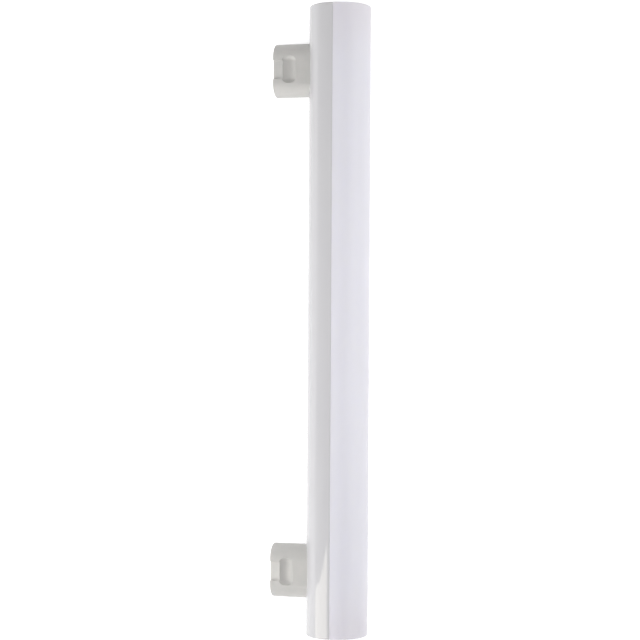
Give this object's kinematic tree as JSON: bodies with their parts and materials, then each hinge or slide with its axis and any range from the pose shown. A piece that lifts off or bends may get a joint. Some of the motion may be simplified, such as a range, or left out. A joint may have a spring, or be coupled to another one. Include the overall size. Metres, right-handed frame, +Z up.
{
  "type": "tubular light bulb",
  "caption": "Tubular LED lamp with an opal half-round diffuser, a white half-round housing and oblong side pegs with latch recesses.",
  "frame": {"origin": "centre of the resting lamp's outline seen from above, on the surface that it lies on", "axes": "+Y along the tube, +Z up, and the pegs point to -X and 15 degrees down"},
  "size_m": [0.0468, 0.3, 0.0295],
  "materials": {
    "housing_white": "glossy moulded",
    "diffuser_opal": "satin opal",
    "peg_grey": "satin moulded",
    "contact_nickel": "nickel plated",
    "board_aluminium": "white solder mask",
    "led_package": "satin",
    "screw_steel": "zinc plated",
    "circuit_board": "satin",
    "component_black": "satin",
    "capacitor_sleeve": "glossy sleeve",
    "coil_ferrite": "matte",
    "resistor_body": "lacquered",
    "lead_white": "insulated",
    "lead_red": "insulated",
    "lead_black": "insulated"
  },
  "bodies": {
    "root": {"rear_housing": "housing_white", "diffuser": "diffuser_opal", "base_peg_1": "peg_grey", "base_peg_2": "peg_grey", "contact_1": "contact_nickel", "contact_2": "contact_nickel", "led_board": "board_aluminium", "led_01": "led_package", "led_02": "led_package", "led_03": "led_package", "led_04": "led_package", "led_05": "led_package", "led_06": "led_package", "led_07": "led_package", "led_08": "led_package", "led_09": "led_package", "led_10": "led_package", "led_11": "led_package", "led_12": "led_package", "led_13": "led_package", "led_14": "led_package", "led_15": "led_package", "led_16": "led_package", "led_17": "led_package", "led_18": "led_package", "led_19": "led_package", "led_20": "led_package", "led_21": "led_package", "led_22": "led_package", "led_23": "led_package", "led_24": "led_package", "board_screw_1": "screw_steel", "board_screw_2": "screw_steel", "board_screw_3": "screw_steel", "board_screw_4": "screw_steel", "driver_board": "circuit_board", "fuse_resistor": "resistor_body", "bridge_rectifier": "component_black", "input_capacitor": "capacitor_sleeve", "driver_chip": "component_black", "inductor": "coil_ferrite", "output_capacitor": "capacitor_sleeve", "flyback_diode": "component_black", "mains_lead_1": "lead_white", "mains_lead_2": "lead_white", "output_lead_positive": "lead_red", "output_lead_negative": "lead_black"}
  },
  "joints": []
}
